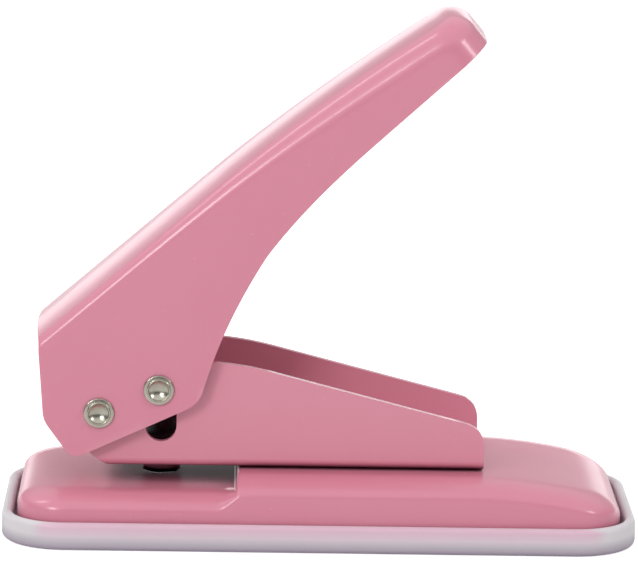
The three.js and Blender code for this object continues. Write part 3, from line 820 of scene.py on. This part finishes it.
PIN_SHANK, PIN_HEAD, HEAD_RISE, FLANGE = 2.0, 2.65, 0.7, 0.4
PIN_CUP, CUP_DEPTH, LIP, PIN_GAP = 1.75, 0.75, 0.14, 0.15
pin_face = LEVER_HALF + PIN_GAP
lip_middle = pin_face + HEAD_RISE - LIP
dish = np.linspace(0, 1, 16)
pin_half = np.concatenate([
    np.stack([PIN_CUP * dish, lip_middle - CUP_DEPTH * (1 - dish ** 2)], -1),
    arc((PIN_CUP + LIP, lip_middle), LIP, 180, 0, 10)[1:],
    ease(np.array([
        (PIN_CUP + 2 * LIP, lip_middle - 0.06), (PIN_CUP + 2.3 * LIP, pin_face + FLANGE),
        (PIN_HEAD - 0.1, pin_face + FLANGE - 0.05), (PIN_HEAD, pin_face + FLANGE - 0.2),
        (PIN_HEAD, pin_face), (PIN_SHANK, pin_face), (PIN_SHANK, 0),
    ]), (0, 0.03, 0.1, 0.08, 0.04, 0.1, 0), 4),
])
pin_profile = np.concatenate([pin_half * [1, -1], pin_half[::-1][1:]])
for name, (x, z) in (("pivot", PIVOT), ("drive", DRIVE)):
    pin = turned(f"{name}_rivet", pin_profile, (x, 0, z), "Y", 72)
    nickel_piece(pin, "lever_set", f"{name}_pin")


# ---- Side washers --------------------------------------------------------------------------------
# Thin plated washers on both pins take up the space between the cheeks and the frame's walls.

WASHER_OUTER, WASHER_INNER, WASHER_THICK = 3.9, 2.25, 0.6


def washer(name, inner, outer, low, high, soft, centre, axis="Z"):
    """A flat ring with softened corners; its section starts and ends by its inner lower corner."""
    corners = np.array([(inner, low), (outer, low), (outer, high), (inner, high)], float)
    section = ease(corners, soft, 4, closed=True)
    return turned(name, np.concatenate([section, section[:1]]), centre, axis, 56)


washer_middle = (FRAME_HALF + LEVER_HALF - LEVER_SHEET) / 2
for name, (x, z) in (("pivot", PIVOT), ("drive", DRIVE)):
    for side, y in (("near", -washer_middle), ("far", washer_middle)):
        ring = washer(f"{name}_ring_{side}", WASHER_INNER, WASHER_OUTER, -WASHER_THICK / 2,
                      WASHER_THICK / 2, 0.12, (x, y, z), "Y")
        nickel_piece(ring, "lever_set", f"{name}_washer_{side}")


# ---- Punch ---------------------------------------------------------------------------------------
# Turned from blackened tool steel: a thick shank with an oblong cross hole for the drive pin, and a
# hardened 6 mm cutter below it, hollow ground so that it shears from its rim inwards.

CUTTER, SHANK, PUNCH_TIP, PUNCH_SHOULDER, PUNCH_TOP = 3.0, 4.0, 10.6, 22.0, 31.2
GRIND, HOLE_GAP, HOLE_REACH, PUNCH_CUT = 1.1, 0.2, 0.65, 8.0
punch_profile = ease(np.array([
    (0, PUNCH_TIP + GRIND), (CUTTER, PUNCH_TIP), (CUTTER, PUNCH_SHOULDER - 1), (SHANK, PUNCH_SHOULDER),
    (SHANK, PUNCH_TOP - 0.6), (SHANK - 0.6, PUNCH_TOP), (0, PUNCH_TOP),
]), (0, 0.02, 0.3, 0.3, 0.2, 0.2, 0), 4)
punch = turned("punch_turning", punch_profile, (PUNCH_X, 0, 0), steps=72)
cut(punch, slab(oblong(PUNCH_X, DRIVE[1], DRIVE[1], PIN_SHANK + HOLE_GAP, HOLE_REACH), PUNCH_CUT))
soften(punch, 0.12)

black_steel, tree, shader = finish("blackened steel")
marks = use_group(tree, rings)
marks.inputs["Rings per mm"].default_value = 5
blend_colours(tree, marks, "Amount", (0.012, 0.012, 0.014), (0.035, 0.034, 0.038), shader)
between(tree, marks, "Amount", 0.25, 0.45, shader, "Roughness")
relief = add(tree, "Bump", {"Strength": 0.2, "Distance": 0.00004})
join(tree, marks, "Amount", relief, "Height")
join(tree, relief, "Normal", shader, "Normal")
shader.inputs["Metallic"].default_value = 0.6


def black_piece(piece, body, node):
    piece.data.materials.append(black_steel)
    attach(piece, body)
    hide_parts(node)


black_piece(punch, "punch_set", "punch")


# ---- Spring washer and return spring -------------------------------------------------------------
# A washer under the drive pin takes the push of a coil of spring wire, which stands on the frame's
# floor round the punch and lifts the lever again. Both are blackened like the punch.

SEAT_INNER, SEAT_OUTER, SEAT_LOW, SEAT_HIGH = 4.25, 5.2, 23.5, 24.3
SPRING_RADIUS, SPRING_WIRE, SPRING_COILS, SPRING_LOW, SPRING_HIGH = 4.75, 0.35, 3, 13.95, 23.15
seat = washer("spring_seat", SEAT_INNER, SEAT_OUTER, SEAT_LOW, SEAT_HIGH, 0.15, (PUNCH_X, 0, 0))
black_piece(seat, "punch_set", "spring_washer")

# The wire's centre climbs a helix whose end turns lie flatter. Its round section is carried along it, and
# closes to a point at each end.
FLATTER = 0.4
along = np.linspace(0, 1, SPRING_COILS * 48 + 1)
turn = 2 * np.pi * SPRING_COILS * along
rise = (1 - FLATTER) * along + FLATTER * along ** 2 * (3 - 2 * along)
outward = np.stack([np.cos(turn), np.sin(turn), turn * 0], -1)
middle = outward * SPRING_RADIUS + [PUNCH_X, 0, 0]
middle[:, 2] = SPRING_LOW + SPRING_WIRE + (SPRING_HIGH - SPRING_LOW - 2 * SPRING_WIRE) * rise
round_wire = np.linspace(0, 2 * np.pi, 12, endpoint=False)[:, None, None]
section = np.cos(round_wire) * outward + np.sin(round_wire) * np.array([0, 0, 1])
wire_radius = np.where((along > 0) & (along < 1), SPRING_WIRE, 0)[None, :, None]
wire = middle + wire_radius * section
spring = surface("spring_coil", wire, across=True)
black_piece(spring, "base", "return_spring")
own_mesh(spring)
